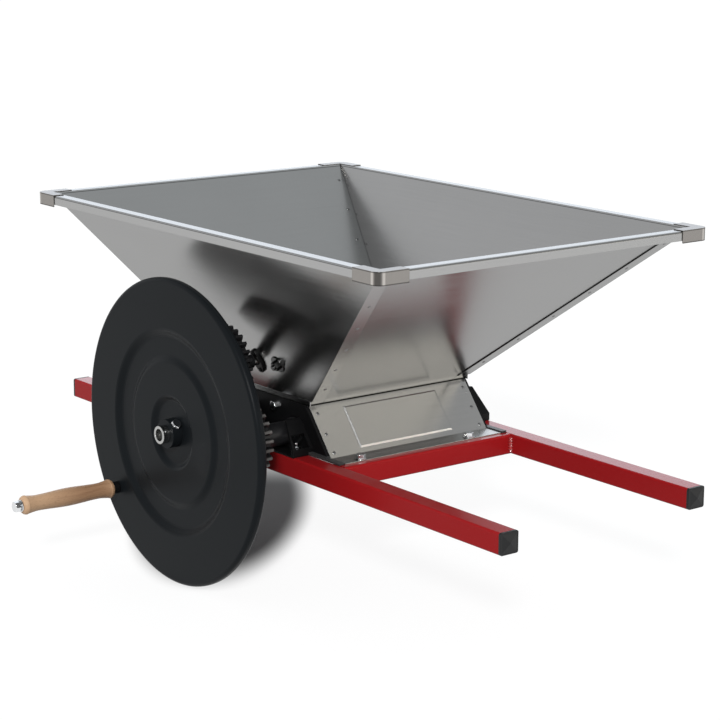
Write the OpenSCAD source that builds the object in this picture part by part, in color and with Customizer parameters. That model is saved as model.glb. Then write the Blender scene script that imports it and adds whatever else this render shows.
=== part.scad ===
// Hand-cranked grape crusher: a hopper over two geared rolls on a rail frame.
// X runs along the rails, Y along the roll shafts with the flywheel at -Y, Z is up.
// The origin is the middle of the crushing box, level with the underside of the rails.

/* [Rail frame] */
// Length of a rail tube without its end caps
rail_len = 1054; // [900:1:1300]
// How far the rails reach forward of centre
rail_shift = 9; // [0:1:60]
// Side of the square tube
tube = 30; // [26:1:36]
// Wall of the square tube
tube_wall = 2; // [1.5:0.25:3]
// Outer corner radius of the square tube
tube_corner = 3; // [2.5:0.5:4]
// Gap between a side plate and the rail beside it
rail_clear = 4.5; // [2:0.5:12]
// Gap between the skirt fold and the cross member
cross_clear = 16; // [8:1:30]
// Leg of a weld bead
weld_leg = 5.5; // [2:0.5:8]
// Thickness of an end cap's head
cap_head = 4; // [3:0.5:8]
// Height of the pyramid on an end cap
cap_peak = 2.5; // [1:0.5:5]
// Depth of an end cap's plug
cap_plug = 18; // [10:1:30]

/* [Crushing rolls] */
// Length of a roll
roll_len = 281; // [240:1:320]
// Gap between the two rolls
roll_gap = 8; // [4:0.5:12]
// Height of the roll axes over the rail tops
roll_rise = 26; // [23:0.5:30]
// Number of flutes along a roll
flute_count = 14; // [10:1:16]
// Radius of a flute
flute_r = 5; // [3:0.5:6]
// Diameter of the roll shafts
shaft_d = 26; // [22:1:28]
// Diameter of a roll pin
roll_pin_d = 8; // [6:0.5:10]
// Diameter of the hollow in the crank end of the drive shaft
shaft_hollow_d = 18; // [12:0.5:19]
// Depth of the hollow in the crank end of the drive shaft
shaft_hollow = 14; // [6:0.5:14]

/* [Gears] */
// Gear module
gear_module = 4; // [3.75:0.05:4.25]
// Teeth on each roll gear
roll_teeth = 24; // [23:1:26]
// Teeth on the agitator gear
agitator_teeth = 28; // [25:1:31]
// Face width of the gears
gear_w = 20; // [14:1:28]
// Distance from a side plate to the gears
gear_standoff = 72.5; // [60:0.5:90]
// Free play between the teeth
backlash = 0.4; // [0.2:0.05:0.8]
// Clearance between the agitator gear and the driven roll gear
gear_tip_gap = 1.5; // [1:0.25:4]
// Outer radius of the gear sleeves
gear_sleeve_r = 17; // [16:0.5:18]

/* [Crushing box] */
// Height of the box over the rail tops
box_h = 68; // [64:1:76]
// Lean of the skirts from upright, degrees
skirt_lean = 38.8; // [36:0.2:42]
// Thickness of the stainless sheet
sheet = 1.5; // [1:0.25:2]
// Thickness of the side plates
plate_t = 3; // [2:0.5:5]
// Gap between a roll and the flanges behind the skirts
roll_clear = 1.6; // [1.2:0.1:4]
// Width of the flanges that carry the skirts
skirt_seat_w = 17; // [14:1:22]
// Depth of the foot flange of a skirt
skirt_foot = 33; // [27:1:40]
// Distance between the two bolts of a skirt
skirt_bolt_spread = 200; // [140:1:250]
// Shift of the front skirt bolts along Y
skirt_bolt_shift = -10; // [-20:1:20]
// Width of the pressed-out field on a skirt
field_w = 166; // [100:1:220]
// Height of the pressed-out field on a skirt
field_h = 62; // [40:1:64]
// Rise of the pressed-out field
field_rise = 1.4; // [0.6:0.1:1.8]
// Width of the sloping edge around the field
field_edge = 2.4; // [1.5:0.1:4]
// Forward position of the bracket faces
bracket_x = 92; // [88:1:100]
// Height of the upright lower part of a bracket
bracket_rise = 11; // [8:1:14]
// Height of a bracket over the rail top
bracket_h = 48; // [36:1:50]
// Reach of a bracket's top edge from its side plate
bracket_reach = 25; // [14:1:28]
// Forward position of the foot bolts
foot_bolt_x = 74; // [72:0.5:76]

/* [Hopper] */
// Outside length of the rim along X
rim_l = 850; // [760:1:900]
// Outside width of the rim along Y
rim_w = 584; // [540:1:640]
// Height of the hopper from its throat to the rim
hopper_h = 252; // [230:1:280]
// Height of the throat strip over the crushing box
throat_drop = 8; // [6:0.5:14]
// Step from the skirts out to the throat
throat_step = 6.6; // [4:0.2:10]
// Width of the folded-out rim
rim_flange = 17; // [14:0.5:24]
// Depth of the rim's lip
rim_lip = 13.5; // [10:0.5:20]
// Outer radius of the rim's fold
rim_fold = 3; // [2.5:0.25:5]
// Length of a corner cap along each side
corner_len = 50; // [30:1:60]
// Depth of a corner cap
corner_depth = 17; // [12:0.5:24]
// Radius of a corner cap
corner_r = 13; // [6:0.5:16]
// Thickness of a corner cap
corner_sheet = 1.2; // [0.8:0.1:2]
// Width of the tabs at the corner seams
tab_w = 22; // [18:1:30]
// Rivets along each corner seam
seam_rivets = 6; // [3:1:9]

/* [Agitator] */
// Diameter of the agitator shaft
agitator_d = 13; // [12:0.5:14]
// Diameter of an agitator peg
peg_d = 8; // [6:0.5:9]
// Number of agitator pegs
peg_count = 6; // [4:1:8]
// Distance between agitator pegs
peg_step = 40; // [30:1:44]
// Gap between the pegs and the rolls
peg_clear = 12; // [8:1:24]
// Width of an agitator bush's flange
bush_flange_w = 22; // [20:1:26]
// Thickness of an agitator bush's flange
bush_flange_t = 4; // [3:0.5:6]
// Outer radius of the agitator gear's hub
gear_hub_r = 10; // [9.5:0.25:12]
// Position of the stud bolt along X from the agitator
stud_x = 51; // [38:1:70]
// Height of the stud bolt over the agitator
stud_z = 3.5; // [0:0.5:20]

/* [Flywheel and handle] */
// Outer radius of the flywheel
wheel_r = 224; // [215:0.5:235]
// Width of the flywheel's rim
wheel_w = 14.5; // [13:0.5:20]
// Thickness of the flywheel's web
wheel_web = 6; // [5:0.5:8]
// Radial depth of the flywheel's rim
wheel_rim = 16; // [12:0.5:20]
// Outer radius of the ring groove
groove_out = 145; // [136:1:150]
// Inner radius of the ring groove
groove_in = 107; // [95:1:115]
// Depth of the ring groove
groove_depth = 6.5; // [3:0.5:8]
// Depth of the raised middle below the rim face
middle_depth = 2; // [0:0.5:3]
// Radius of the dish around the hub
dish_r = 50; // [42:1:60]
// Depth of the dish below the rim face
dish_depth = 8; // [4:0.5:9]
// Distance from the gears to the flywheel
wheel_gap = 43; // [30:0.5:50]
// Outer radius of the flywheel's hub
hub_r = 21; // [18:0.5:24]
// How far the hub stands out of the rim face
hub_proud = 8; // [4:0.5:14]
// How far the drive shaft stands out of the hub
shaft_proud = 11; // [7:0.5:14]
// Distance from the rim to the handle's axis
handle_inset = 36.5; // [34:0.5:50]
// Angle of the handle around the wheel, degrees
handle_angle = 217.6; // [0:0.2:360]
// Length of the wooden grip
grip_len = 153; // [120:1:180]
// Radius of the grip's belly
grip_belly = 13.4; // [12.5:0.1:15]
// Radius of the grip's necks
grip_neck = 11.6; // [10.5:0.1:12]
// Diameter of the handle's spindle
spindle_d = 10; // [8:0.5:12]
// Length of the collar between the wheel and the grip
spindle_collar = 9.5; // [5:0.5:14]

/* [Clearances] */
// Radial running clearance of shafts and spindle
run_fit = 0.06; // [0.03:0.01:0.1]
// Clearance around seated pieces
seat_fit = 0.05; // [0.03:0.01:0.1]
// End clearance beside turning pieces
end_play = 0.4; // [0.3:0.05:0.8]

/* [Hidden] */
$fn = 64;

// Fasteners: thread diameter, width across flats and head height
m8 = [8, 13, 5.5];
m3 = [3, 5.5, 2];
nut_share = 0.8;
washer_t = 1.6;
washer_share = 1.35;
hole_clear = 0.2;
bolt_reach = 8;
thread_over = 3;
rivet_r = 1.6;
rivet_head_r = 2.6;
rivet_head_h = 0.9;
bolt_clear = 0.5;
cut = 1;

// Heights
roll_z = tube + roll_rise;
box_top = tube + box_h;
throat_z = box_top + throat_drop;
rim_top = throat_z + hopper_h;

// Gears and shaft positions
roll_pitch_r = gear_module * roll_teeth / 2;
agitator_pitch_r = gear_module * agitator_teeth / 2;
addendum = 0.85 * gear_module;
dedendum = 1.15 * gear_module;
pressure_angle = 20;
roll_x = roll_pitch_r;
roll_r = roll_x - roll_gap / 2;
shaft_r = shaft_d / 2;
agitator_r = agitator_d / 2;
mesh_gap = roll_pitch_r + agitator_pitch_r;
pass_gap = mesh_gap + 2 * addendum + gear_tip_gap;
agitator_x = -(pass_gap * pass_gap - mesh_gap * mesh_gap) / (4 * roll_x);
agitator_z = roll_z + sqrt(mesh_gap * mesh_gap - pow(agitator_x + roll_x, 2));
mesh_angle = atan2(agitator_z - roll_z, agitator_x + roll_x);
roll_tooth_angle = 360 / roll_teeth;
mesh_offset = mesh_angle - roll_tooth_angle * floor(mesh_angle / roll_tooth_angle);
agitator_phase = mesh_angle + 180 + (mesh_offset * roll_teeth + 180) / agitator_teeth;

// Crushing box, all measured from the middle
bush_thrust = 5;
plate_y = roll_len / 2 + bush_thrust;
plate_out = plate_y + plate_t;
rail_in = plate_out + rail_clear;
rail_out = rail_in + tube;
rail_y = rail_in + tube / 2;
seat_t = 1.5;
skirt_reach = roll_r + roll_clear + seat_t + seat_fit + sheet;
skirt_side_gap = 1.5;
skirt_half = plate_y - skirt_side_gap;
skirt_run = sheet / cos(skirt_lean);
skirt_top_x = skirt_x(box_top);
skirt_foot_x = skirt_x(tube + sheet);
skirt_len = (box_top - tube - sheet) / cos(skirt_lean);
skirt_hem = 5.4;
cross_x = skirt_foot_x + cross_clear + tube / 2;
skirt_bolt_x = skirt_foot_x + skirt_foot * 0.72;
skirt_rivet_inset = 9;
skirt_rivet_rows = [0.17, 0.56, 0.91];
field_drop = 13;
field_shift = -3;
sleeve_r = 17;
bush_flange_r = 20;
bush_flange = 4;
bush_out = plate_out + 12;
plate_screw_low = 14;
plate_screw_high = 28;
plate_screw_z = [roll_z - plate_screw_low, roll_z + plate_screw_high];
sill_x = skirt_foot_x + skirt_foot;
sill_w = 2;
foot_bolt_y = rail_y - 3;
window_w = 24;
window_h = 18;

// Hopper, half sizes at the throat and at the rim
throat_x = skirt_top_x + throat_step;
throat_y = plate_y - 0.5;
open_x = rim_l / 2 - rim_flange;
open_y = rim_w / 2 - rim_flange;
tilt_x = atan((open_x - throat_x) / hopper_h);
tilt_y = atan((open_y - throat_y) / hopper_h);
wall_run_x = sheet / cos(tilt_x);
wall_run_y = sheet / cos(tilt_y);
seam_gap = 0.1;
corner_gap = corner_r + 1;
lip_base = 2.2;
tab_run = wall_run_x;
tab_rivet_inset = 11;

// Positions along the drive side
gear_near = plate_out + gear_standoff;
gear_far = gear_near + gear_w;
wheel_back = gear_far + wheel_gap;
wheel_front = wheel_back + wheel_w;
hub_front = wheel_front + hub_proud;
shaft_front = hub_front + shaft_proud;
sleeve_start = bush_out + end_play;
collar_w = 12;
collar_wall = 8;
agitator_collar_wall = 4;
shaft_far = bush_out + end_play + collar_w + 3;
gear_end = gear_far + 6;
key_w = 6;
key_h = 5;
key_sink = 2.5;
key_inset = 1;
agitator_wall = wall_y(agitator_z) + wall_run_y;
bolt_corner = m3[1] / 2 / cos(30);
bush_bolt_h = bush_flange_t + m3[2];
bush_bolt_half = agitator_r / cos(tilt_y) + bush_bolt_h * tan(tilt_y) + bolt_corner + bolt_clear;
bush_flange_half = bush_bolt_half + bolt_corner + 3 * bolt_clear;
collar_stand = bush_bolt_half * sin(tilt_y) + bush_bolt_h * cos(tilt_y) + 2 * end_play;
collar_start = agitator_wall + collar_stand;
agitator_far = collar_start + collar_w + 3;
peg_reach = mesh_gap - roll_r - peg_clear;
peg_turn = 60;
wall_hole_r = agitator_r + 1.5;

// Handle
handle_r = wheel_r - handle_inset;
handle_x = -roll_x + handle_r * cos(handle_angle);
handle_z = roll_z + handle_r * sin(handle_angle);
spindle_r = spindle_d / 2;
spindle_wall = 4;
spindle_head = [14, 8];
spindle_shoulder = 1.5;
grip_near = wheel_front + spindle_collar + end_play;
grip_far = grip_near + grip_len;
set_bolt_y = wheel_front + (hub_proud - dish_depth) / 2;
set_bolt_bite = 2;
hub_shoulder_r = 34;
hub_shoulder = 8;
wheel_round = 6;
ease_steps = 5;

// Distance of a skirt's outer face from the middle at height z
function skirt_x(z) = roll_x + (skirt_reach - (z - roll_z) * sin(skirt_lean)) / cos(skirt_lean);

// Inner half sizes of the hopper at height z
function wall_x(z) = throat_x + (open_x - throat_x) * (z - throat_z) / hopper_h;
function wall_y(z) = throat_y + (open_y - throat_y) * (z - throat_z) / hopper_h;

// Involute of angle a in degrees, as degrees
function involute(a) = tan(a) * 180 / PI - a;
// Half angle of a tooth at radius r, for base radius b and half angle h on the pitch circle
function flank(r, b, h) = h + involute(pressure_angle) - involute(r > b ? acos(b / r) : 0);
function polar(r, a) = [r * cos(a), r * sin(a)];
function ease(t) = (1 - cos(180 * t)) / 2;
// Points of an easy step from one level to another across a radius
function step_points(r, half, from, to) = [
    for (i = [0 : ease_steps])
        [r + half * (2 * i / ease_steps - 1), from + (to - from) * ease(i / ease_steps)]
];

// Places its child on an extrusion from y0 to y1, with the drawing's axes along X and Z
module along_y(y0, y1) {
    translate([0, y1, 0]) rotate([90, 0, 0]) linear_extrude(y1 - y0) children();
}

module rod_y(r, y0, y1) {
    along_y(y0, y1) circle(r);
}

module both_sides() {
    children();
    mirror([0, 1, 0]) children();
}

module both_ends() {
    children();
    mirror([1, 0, 0]) children();
}

module at_roll(side) {
    translate([side * roll_x, 0, roll_z]) children();
}

module at_agitator() {
    translate([agitator_x, 0, agitator_z]) children();
}

module at_handle() {
    translate([handle_x, 0, handle_z]) children();
}

// Puts a child on the outer face of the drive wall of the hopper, its Z axis along the outward normal
module on_drive_wall(x, z) {
    translate([x, -wall_y(z) - wall_run_y, z]) rotate([90 + tilt_y, 0, 0]) children();
}

// Puts a child on the front skirt's outer face, d down from its top edge
module on_skirt(y, d) {
    translate([skirt_top_x, y, box_top]) rotate([0, 90 - skirt_lean, 0]) translate([d, 0, 0]) children();
}

// Fasteners: the seat is at z = 0, the head above it
module hex_head(across, h) {
    intersection() {
        cylinder(d = across / cos(30), h = h, $fn = 6);
        cylinder(r1 = across * 0.48 + h * tan(60), r2 = across * 0.48, h = h);
    }
}

module hex_bolt(size, reach) {
    cylinder(d = size[1] * washer_share, h = washer_t);
    translate([0, 0, washer_t]) hex_head(size[1], size[2]);
    translate([0, 0, -reach]) cylinder(d = size[0], h = reach + washer_t);
}

module stud_and_nut(size, reach) {
    cylinder(d = size[1] * washer_share, h = washer_t);
    translate([0, 0, washer_t]) hex_head(size[1], size[0] * nut_share);
    translate([0, 0, -reach]) cylinder(d = size[0], h = reach + washer_t + 1.5 * size[0]);
}

module rivet(grip) {
    translate([0, 0, -grip]) cylinder(r = rivet_r, h = grip);
    rivet_dome();
    translate([0, 0, -grip]) mirror([0, 0, 1]) rivet_dome();
}

module rivet_dome() {
    ball_r = (rivet_head_r * rivet_head_r + rivet_head_h * rivet_head_h) / (2 * rivet_head_h);
    intersection() {
        cylinder(r = rivet_head_r, h = rivet_head_h);
        translate([0, 0, rivet_head_h - ball_r]) sphere(ball_r);
    }
}

// Rail frame
module rounded_square(side, r) {
    square([side - 2 * r, side], center = true);
    square([side, side - 2 * r], center = true);
    for (a = [-1, 1], b = [-1, 1]) translate([a, b] * (side / 2 - r)) circle(r);
}

module tube_section() {
    difference() {
        rounded_square(tube, tube_corner);
        rounded_square(tube - 2 * tube_wall, tube_corner - tube_wall);
    }
}

module rail() {
    difference() {
        translate([rail_shift - rail_len / 2, rail_y, tube / 2])
            rotate([90, 0, 90]) linear_extrude(rail_len) tube_section();
        for (s = [-1, 1]) translate([s * foot_bolt_x, foot_bolt_y, tube - tube_wall - cut])
            cylinder(d = m8[0] + hole_clear, h = tube_wall + 2 * cut);
    }
}

module cross_member() {
    difference() {
        translate([cross_x, 0, tube / 2]) along_y(-rail_in, rail_in) tube_section();
        for (s = [-1, 1])
            translate([skirt_bolt_x, skirt_bolt_shift + s * skirt_bolt_spread / 2, tube - tube_wall - cut])
                cylinder(d = m8[0] + hole_clear, h = tube_wall + 2 * cut);
    }
}

module drive_rail() {
    color("firebrick") mirror([0, 1, 0]) rail();
}

module far_rail() {
    color("firebrick") rail();
}

module front_cross_member() {
    color("firebrick") cross_member();
}

module rear_cross_member() {
    color("firebrick") mirror([1, 0, 0]) cross_member();
}

module frame_welds() {
    color("firebrick") both_ends() both_sides() for (s = [-1, 1])
        translate([cross_x + s * tube / 2, rail_in, tube_corner])
            linear_extrude(tube - 2 * tube_corner)
                polygon([[0, 0], [s * weld_leg, 0], [0, -weld_leg]]);
}

module rail_end_cap() {
    inner = tube - 2 * tube_wall - 2 * seat_fit;
    translate([0, 0, -cap_plug]) linear_extrude(cap_plug) square(inner, center = true);
    linear_extrude(cap_head) rounded_square(tube, tube_corner);
    translate([0, 0, cap_head]) rotate([0, 0, 45])
        cylinder(r1 = (tube / 2 - tube_corner) * sqrt(2), r2 = 0, h = cap_peak, $fn = 4);
}

module rail_end_caps() {
    color("dimgray") both_sides() for (s = [-1, 1])
        translate([rail_shift + s * rail_len / 2, rail_y, tube / 2]) rotate([0, s * 90, 0]) rail_end_cap();
}

// Side plates
module bracket_outline() {
    polygon([
        [plate_y, tube], [rail_out, tube], [rail_out, tube + bracket_rise],
        [plate_out + bracket_reach, tube + bracket_h], [plate_y, tube + bracket_h]
    ]);
}

module bracket_strip() {
    fold_z = tube + bracket_rise;
    top_z = tube + bracket_h;
    top_x = bracket_x - (top_z - fold_z) * tan(skirt_lean);
    run = plate_t / cos(skirt_lean);
    polygon([
        [bracket_x - plate_t, tube], [bracket_x, tube], [bracket_x, fold_z],
        [top_x, top_z], [top_x - run, top_z], [bracket_x - run, fold_z]
    ]);
}

// Folded bracket from the side plate out over the rail
module bracket() {
    intersection() {
        along_y(plate_y, rail_out) bracket_strip();
        rotate([90, 0, 90]) linear_extrude(2 * bracket_x) bracket_outline();
    }
}

// Opening in a bracket where a wrench reaches the foot bolt beside the gears
module wrench_window() {
    translate([foot_bolt_x, foot_bolt_y - window_w / 2, tube + bracket_rise])
        cube([bracket_x, window_w, window_h]);
}

module skirt_seat() {
    inner = skirt_run + seat_fit / cos(skirt_lean);
    run = seat_t / cos(skirt_lean);
    low = tube + sheet;
    along_y(plate_y - skirt_seat_w, plate_out) polygon([
        [skirt_x(low) - inner, low], [skirt_x(box_top - sheet) - inner, box_top - sheet],
        [skirt_x(box_top - sheet) - inner - run, box_top - sheet], [skirt_x(low) - inner - run, low]
    ]);
}

module side_plate() {
    edge = skirt_run + (seat_fit + seat_t / 2) / cos(skirt_lean);
    foot_x = skirt_x(tube) - edge;
    top_x = skirt_x(box_top) - edge;
    difference() {
        union() {
            along_y(plate_y, plate_out)
                polygon([[-foot_x, tube], [foot_x, tube], [top_x, box_top], [-top_x, box_top]]);
            translate([-bracket_x, plate_y, tube]) cube([2 * bracket_x, rail_out - plate_y, plate_t]);
            translate([-sill_x, plate_y, tube]) cube([2 * sill_x, rail_in + sill_w - plate_y, plate_t]);
            both_ends() bracket();
            both_ends() skirt_seat();
        }
        for (s = [-1, 1]) {
            at_roll(s) rod_y(sleeve_r + seat_fit, plate_y - cut, plate_out + cut);
            translate([s * foot_bolt_x, foot_bolt_y, tube - cut])
                cylinder(d = m8[0] + hole_clear, h = plate_t + 2 * cut);
        }
        at_plate_screws()
            translate([0, 0, -plate_t - cut]) cylinder(d = m8[0] + hole_clear, h = plate_t + 2 * cut);
        both_ends() for (row = skirt_rivet_rows)
            on_skirt(skirt_half - skirt_rivet_inset, row * skirt_len)
                translate([0, 0, -sheet - seat_t - cut])
                    cylinder(r = rivet_r + seat_fit, h = seat_t + 2 * cut);
    }
}

module far_side_plate() {
    color([0.16, 0.16, 0.17]) side_plate();
}

module drive_side_plate() {
    color([0.16, 0.16, 0.17]) mirror([0, 1, 0]) difference() {
        side_plate();
        both_ends() wrench_window();
    }
}

module side_plate_bolts() {
    color("silver") both_sides() for (s = [-1, 1])
        translate([s * foot_bolt_x, foot_bolt_y, tube + plate_t])
            stud_and_nut(m8, plate_t + tube_wall + bolt_reach);
}

module at_plate_screws() {
    for (z = plate_screw_z) translate([0, plate_out, z]) rotate([-90, 0, 0]) children();
}

module plate_screws() {
    color("silver") both_sides() at_plate_screws() {
        hex_head(m8[1], m8[2]);
        translate([0, 0, -plate_t]) cylinder(d = m8[0], h = plate_t);
    }
}

module roll_bush() {
    difference() {
        union() {
            rod_y(sleeve_r, roll_len / 2 + end_play, bush_out);
            rod_y(bush_flange_r, plate_out, plate_out + bush_flange);
        }
        rod_y(shaft_r + run_fit, 0, bush_out + cut);
    }
}

module roll_bushes() {
    color([0.2, 0.2, 0.21]) both_sides() for (s = [-1, 1]) at_roll(s) roll_bush();
}

// Skirts
module skirt_profile() {
    polygon([
        [skirt_top_x - skirt_hem, box_top], [skirt_top_x, box_top], [skirt_foot_x, tube + sheet],
        [skirt_foot_x + skirt_foot, tube + sheet], [skirt_foot_x + skirt_foot, tube],
        [skirt_x(tube) - skirt_run, tube], [skirt_x(box_top - sheet) - skirt_run, box_top - sheet],
        [skirt_top_x - skirt_hem, box_top - sheet]
    ]);
}

// Plan of the pressed-out field where it lies that far outside the skirt's face
function field_outline(out) =
    let (grow = (field_rise - out) * field_edge / field_rise)
    [
        [-grow, -field_w / 2 - grow], [field_h + grow, -field_w / 2 - grow],
        [field_h + grow, field_w / 2 + grow], [-grow, field_w / 2 + grow]
    ];

// Field with sloping edges between two levels, set back by a depth
module field_block(z0, z1, back) {
    slanted_block(field_outline(z0 + back), field_outline(z1 + back), z0, z1, [[0, 1, 2, 3]]);
}

module skirt() {
    difference() {
        union() {
            along_y(-skirt_half, skirt_half) skirt_profile();
            on_skirt(field_shift, field_drop) field_block(-sheet / 2, field_rise, 0);
        }
        on_skirt(field_shift, field_drop) field_block(-sheet - cut, field_rise - sheet, sheet);
        for (s = [-1, 1]) {
            for (row = skirt_rivet_rows)
                on_skirt(s * (skirt_half - skirt_rivet_inset), row * skirt_len)
                    translate([0, 0, -sheet - cut]) cylinder(r = rivet_r + seat_fit, h = sheet + 2 * cut);
            translate([skirt_bolt_x, skirt_bolt_shift + s * skirt_bolt_spread / 2, tube - cut])
                cylinder(d = m8[0] + hole_clear, h = sheet + 2 * cut);
        }
    }
}

module front_skirt() {
    color("lightgray") skirt();
}

module rear_skirt() {
    color("lightgray") mirror([1, 0, 0]) skirt();
}

module skirt_rivets() {
    color("silver") both_ends() both_sides() for (row = skirt_rivet_rows)
        on_skirt(skirt_half - skirt_rivet_inset, row * skirt_len) rivet(sheet + seat_fit + seat_t);
}

module skirt_bolts() {
    color("silver") both_ends() for (s = [-1, 1])
        translate([skirt_bolt_x, skirt_bolt_shift + s * skirt_bolt_spread / 2, tube + sheet])
            hex_bolt(m8, sheet + tube_wall + bolt_reach);
}

// Hopper
// Solid between two level outlines with the same number of corners, listed in order around them.
// The ends are given as a list of convex faces over those corners.
module slanted_block(low, high, z0, z1, ends) {
    count = len(low);
    points = concat([for (p = low) [p[0], p[1], z0]], [for (p = high) [p[0], p[1], z1]]);
    polyhedron(points, concat(
        ends,
        [for (face = ends) [for (i = [len(face) - 1 : -1 : 0]) face[i] + count]],
        [for (i = [0 : count - 1]) [i, i + count, (i + 1) % count + count, (i + 1) % count]]
    ));
}

// Folded rim strip in its own section: the wall side at x = 0, the lip at x = rim_flange, top at y = 0
module rim_section() {
    square_w = rim_flange - rim_fold;
    translate([0, -sheet]) square([square_w, sheet]);
    translate([rim_flange - sheet, -rim_lip]) square([sheet, rim_lip - rim_fold]);
    translate([square_w, -rim_fold]) intersection() {
        difference() {
            circle(rim_fold);
            circle(rim_fold - sheet);
        }
        square(rim_fold);
    }
}

// Rim strip along +Y for the front panel, its ends cut back to leave room in the corners
module front_rim() {
    intersection() {
        translate([open_x, 0, rim_top]) along_y(-rim_w / 2, rim_w / 2) rim_section();
        translate([0, 0, rim_top - rim_lip - cut]) linear_extrude(rim_lip + 2 * cut) polygon([
            [open_x, seam_gap - open_y], [rim_l / 2, corner_gap - rim_w / 2],
            [rim_l / 2, rim_w / 2 - corner_gap], [open_x, open_y - seam_gap]
        ]);
    }
}

module far_rim() {
    intersection() {
        translate([0, open_y, rim_top]) rotate([90, 0, 90])
            translate([0, 0, -rim_l / 2]) linear_extrude(rim_l) rim_section();
        translate([0, 0, rim_top - rim_lip - cut]) linear_extrude(rim_lip + 2 * cut) polygon([
            [open_x - seam_gap, open_y], [rim_l / 2 - corner_gap, rim_w / 2],
            [corner_gap - rim_l / 2, rim_w / 2], [seam_gap - open_x, open_y]
        ]);
    }
}

function front_wall_outline(z, half) = [
    [wall_x(z), -half], [wall_x(z) + wall_run_x, -half], [wall_x(z) + wall_run_x, half], [wall_x(z), half]
];

// Place of a seam rivet on the front wall's tab, i counted up from the throat
function seam_rivet_z(i) = throat_z + hopper_h * (i + 0.6) / (seam_rivets + 0.2);

module at_seam_rivets() {
    for (i = [0 : seam_rivets - 1]) {
        z = seam_rivet_z(i);
        translate([wall_x(z) + wall_run_x + seat_fit + tab_run, wall_y(z) - tab_rivet_inset, z])
            rotate([0, 90 + tilt_x, 0]) children();
    }
}

module front_panel() {
    difference() {
        union() {
            slanted_block(
                front_wall_outline(throat_z, throat_y - seam_gap),
                front_wall_outline(rim_top, open_y - seam_gap), throat_z, rim_top, [[0, 1, 2, 3]]
            );
            along_y(seam_gap - throat_y, throat_y - seam_gap) polygon([
                [throat_x, throat_z], [throat_x + wall_run_x, throat_z],
                [skirt_top_x, box_top], [skirt_top_x - lip_base, box_top]
            ]);
            front_rim();
        }
        both_sides() at_seam_rivets()
            translate([0, 0, -2 * sheet - cut]) cylinder(r = rivet_r + seat_fit, h = 2 * sheet + 2 * cut);
    }
}

// Plan of an end wall at height z, with a tab turned in at each end
function far_wall_outline(z) =
    let (near = wall_x(z) + wall_run_x + seat_fit, end = near + tab_run, y = wall_y(z), tip = y - tab_w)
    [
        [-end, y + wall_run_y], [-end, tip], [-near, tip], [-near, y],
        [near, y], [near, tip], [end, tip], [end, y + wall_run_y]
    ];

// End wall, its tabs lying on the outside of the front and rear panels below their rims
module far_wall() {
    notch_z = rim_top - sheet - seam_gap;
    difference() {
        slanted_block(
            far_wall_outline(throat_z), far_wall_outline(rim_top), throat_z, rim_top,
            [[0, 1, 2, 3], [0, 3, 4, 7], [7, 4, 5, 6]]
        );
        both_ends() translate([open_x - seam_gap, open_y - tab_w - cut, notch_z])
            cube([rim_flange, tab_w + rim_flange, sheet + cut]);
    }
}

module far_panel() {
    difference() {
        union() {
            far_wall();
            translate([-throat_x, throat_y, box_top]) cube([2 * throat_x, wall_run_y, throat_drop]);
            far_rim();
        }
        both_ends() at_seam_rivets()
            translate([0, 0, -sheet - cut]) cylinder(r = rivet_r + seat_fit, h = sheet + 2 * cut);
        at_agitator() rod_y(wall_hole_r, throat_y, rim_w / 2);
        mirror([0, 1, 0]) bush_bolt_places()
            translate([0, 0, -sheet - cut]) cylinder(d = m3[0] + hole_clear, h = sheet + 2 * cut);
    }
}

module hopper_front_panel() {
    color("silver") front_panel();
}

module hopper_rear_panel() {
    color("silver") mirror([1, 0, 0]) front_panel();
}

module hopper_far_panel() {
    color("silver") far_panel();
}

module hopper_drive_panel() {
    color("silver") difference() {
        mirror([0, 1, 0]) far_panel();
        on_drive_wall(agitator_x + stud_x, agitator_z + stud_z)
            translate([0, 0, -sheet - cut]) cylinder(d = m8[0] + hole_clear, h = sheet + 2 * cut);
    }
}

module hopper_rivets() {
    color("gainsboro") both_ends() both_sides() at_seam_rivets() rivet(2 * sheet + seat_fit * cos(tilt_x));
}

// One quarter of the rim in plan, grown outward, with its corner rounded
module rim_corner_plan(grow, r) {
    end = [rim_l / 2 + grow, rim_w / 2 + grow];
    square([end[0] - r, end[1]]);
    square([end[0], end[1] - r]);
    translate([end[0] - r, end[1] - r]) circle(r);
}

module corner_region() {
    translate([rim_l / 2 - corner_len, rim_w / 2 - corner_len]) square(corner_len + rim_flange);
}

module rim_corner_cap() {
    outside = seat_fit + corner_sheet;
    translate([0, 0, rim_top]) linear_extrude(corner_sheet) difference() {
        intersection() {
            rim_corner_plan(outside, corner_r);
            corner_region();
        }
        square([open_x, open_y]);
    }
    translate([0, 0, rim_top - corner_depth]) linear_extrude(corner_depth) intersection() {
        difference() {
            rim_corner_plan(outside, corner_r);
            rim_corner_plan(seat_fit, corner_r - corner_sheet);
        }
        corner_region();
    }
}

module rim_corner_caps() {
    color("lightgray") both_ends() both_sides() rim_corner_cap();
}

// Agitator bushes
module bush_bolt_places() {
    for (s = [-1, 1]) on_drive_wall(agitator_x, agitator_z) translate([0, s * bush_bolt_half, 0]) children();
}

// Pointed oval flange from two arcs, its tips rounded
module bush_flange_plan() {
    half_l = bush_flange_half + 3;
    half_w = bush_flange_w / 2;
    arc_r = (half_l * half_l + half_w * half_w) / (2 * half_w);
    intersection() {
        translate([half_w - arc_r, 0]) circle(arc_r);
        translate([arc_r - half_w, 0]) circle(arc_r);
        circle(bush_flange_half);
    }
}

module agitator_bush() {
    difference() {
        on_drive_wall(agitator_x, agitator_z) linear_extrude(bush_flange_t) bush_flange_plan();
        at_agitator() rod_y(agitator_r + run_fit, -rim_w, 0);
        bush_bolt_places()
            translate([0, 0, -cut]) cylinder(d = m3[0] + hole_clear, h = bush_flange_t + 2 * cut);
    }
}

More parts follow.
